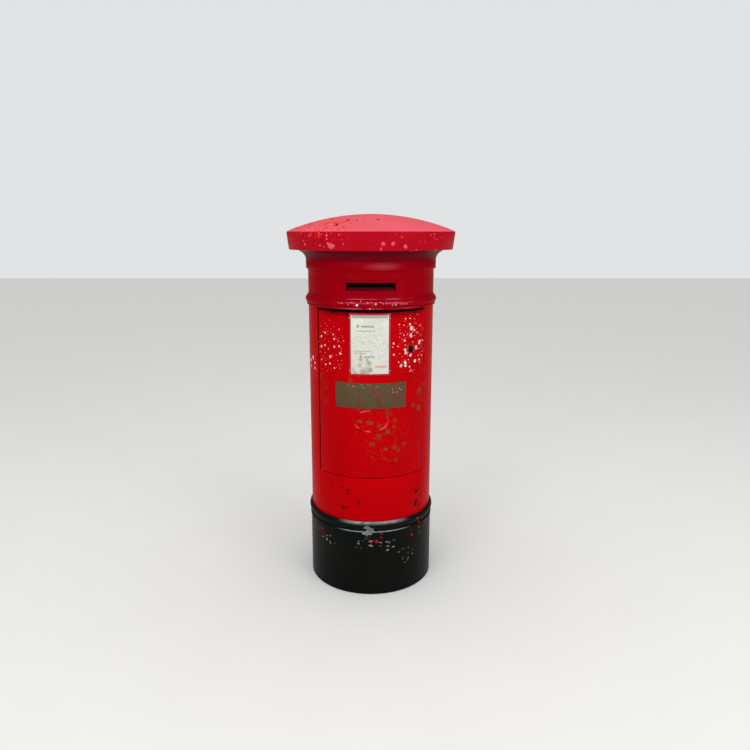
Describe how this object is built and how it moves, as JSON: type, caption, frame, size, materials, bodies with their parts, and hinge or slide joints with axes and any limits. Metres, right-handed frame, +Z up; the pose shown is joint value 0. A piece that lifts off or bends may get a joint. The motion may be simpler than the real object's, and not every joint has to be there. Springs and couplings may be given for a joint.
{
  "type": "street mailbox",
  "caption": "Round cast-iron street mailbox with a domed overhanging cap, a posting slot with an inner flap, a hinged curved front door with a lever lock, and a black base.",
  "frame": {"origin": "centre of the column on the ground", "axes": "+Z up the column, -Y out of the door and slot, +X to the lock side"},
  "size_m": [0.7019, 0.702, 1.586],
  "materials": {
    "red_gloss": "red gloss enamel on cast iron",
    "cap_red": "weathered red gloss enamel on cast iron",
    "base_black": "black gloss enamel on cast iron",
    "red_steel": "red gloss enamel on steel",
    "blank_olive": "worn olive paint on steel",
    "notice_enamel": "pale vitreous enamel on steel",
    "zinc_steel": "zinc-plated steel",
    "dark_steel": "oiled dark steel",
    "galvanised": "hot-dip galvanised steel",
    "brass": "machined brass"
  },
  "bodies": {
    "carcase": {"base": "base_black", "column": "red_gloss", "cap": "cap_red", "base_bolts": "dark_steel", "base_nuts": "dark_steel", "cap_bolts": "dark_steel", "hinge_pin_bottom": "zinc_steel", "hinge_bush": "brass", "hinge_washer": "brass", "lock_keeper": "zinc_steel", "keeper_screws": "dark_steel", "slot_chute": "galvanised", "chute_screws": "dark_steel", "flap_rod": "zinc_steel", "letter_guard": "galvanised", "guard_brackets": "galvanised", "guard_screws": "dark_steel", "floor_plate": "galvanised", "floor_brackets": "galvanised", "floor_bracket_screws": "dark_steel", "floor_plate_screws": "dark_steel"},
    "door": {"door": "red_gloss", "hinge_pin_top": "zinc_steel", "notice_plate": "notice_enamel", "notice_frame": "red_steel", "notice_screws": "zinc_steel", "blank_plate": "blank_olive", "blank_plate_rivets": "blank_olive", "escutcheon": "red_steel", "keyhole_cover_rivet": "red_steel", "lock_case": "dark_steel", "lock_cover": "dark_steel", "lock_screws": "zinc_steel"},
    "keyhole_cover": {"keyhole_cover": "red_steel"},
    "lock_barrel": {"lock_barrel": "brass"},
    "lock_bolt": {"lock_bolt": "brass"},
    "lock_levers": {"lock_levers": "brass"},
    "slot_flap": {"slot_flap": "galvanised"}
  },
  "joints": [
    {"name": "door_hinge", "type": "hinge", "parent": "carcase", "child": "door", "pos_m": [-0.20389, -0.15645, 0.525], "axis": [0, 0, -1], "range_deg": [0, 100]},
    {"name": "keyhole_cover_swing", "type": "hinge", "parent": "door", "child": "keyhole_cover", "pos_m": [0.15947, -0.21949, 1.072], "axis": [0.5878, -0.809, 0], "range_deg": [-80, 80]},
    {"name": "key_turn", "type": "hinge", "parent": "door", "child": "lock_barrel", "pos_m": [0.1252, -0.17232, 1.058], "axis": [-0.5878, 0.809, 0], "range_deg": [0, 100.5]},
    {"name": "bolt_slide", "type": "slide", "parent": "door", "child": "lock_bolt", "axis": [0.809, 0.5878, 0], "range_m": [0, 0.02]},
    {"name": "lever_lift", "type": "hinge", "parent": "door", "child": "lock_levers", "pos_m": [0.09871, -0.20392, 1.076], "axis": [0.5878, -0.809, 0], "range_deg": [0, 4.2]},
    {"name": "flap_swing", "type": "hinge", "parent": "carcase", "child": "slot_flap", "pos_m": [0, -0.21556, 1.33], "axis": [1, 0, 0], "range_deg": [0, 60]}
  ],
  "couplings": [
    {"joint": "key_turn", "follows": "bolt_slide", "rad_per_m": 87.266},
    {"joint": "lever_lift", "follows": "bolt_slide", "rad_per_m": 3.4907}
  ]
}
